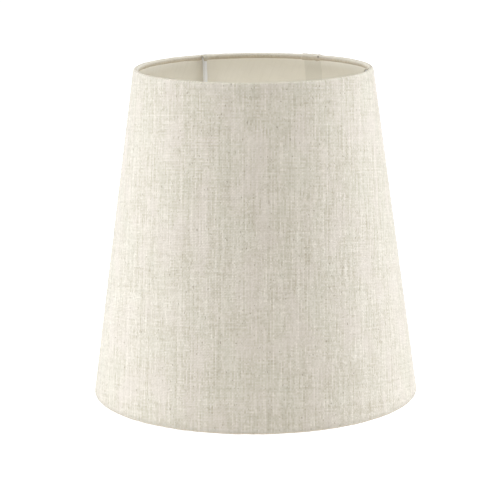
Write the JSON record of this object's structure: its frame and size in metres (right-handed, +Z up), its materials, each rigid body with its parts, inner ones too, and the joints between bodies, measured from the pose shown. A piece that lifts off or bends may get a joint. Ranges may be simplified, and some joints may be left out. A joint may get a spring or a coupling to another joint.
{
  "type": "lamp shade",
  "caption": "Tapered round lamp shade of linen on a stiff liner, rolled over wire rings, with an arm-mounted fitter ring and a lift-out reducer for a lamp holder.",
  "frame": {"origin": "middle of the plane that the bottom hem stands on, on the axis of the shade", "axes": "+Z up along the axis, towards the narrow end; -Y is the front; +X is to the right seen from the front; the lapped seam is at the back right, 54 to 64 degrees round +Z from +X"},
  "size_m": [0.25, 0.25, 0.2531],
  "materials": {
    "linen": "plain woven natural linen, matt",
    "liner_film": "satin, translucent",
    "tape": "matt",
    "white_wire": "satin white powder coat",
    "white_plastic": "satin moulded"
  },
  "bodies": {
    "shade": {"linen_cover": "linen", "liner_panel": "liner_film", "seam_tape": "tape", "top_ring": "white_wire", "bottom_ring": "white_wire", "top_ring_tape": "tape", "bottom_ring_tape": "tape", "fitter_arm_1": "white_wire", "fitter_arm_2": "white_wire", "fitter_arm_3": "white_wire", "fitter_ring": "white_wire"},
    "reducer": {"reducer_insert": "white_plastic"}
  },
  "joints": [
    {"name": "reducer_lift", "type": "slide", "parent": "shade", "child": "reducer", "axis": [0, 0, 1], "range_m": [0, 0.05]}
  ]
}
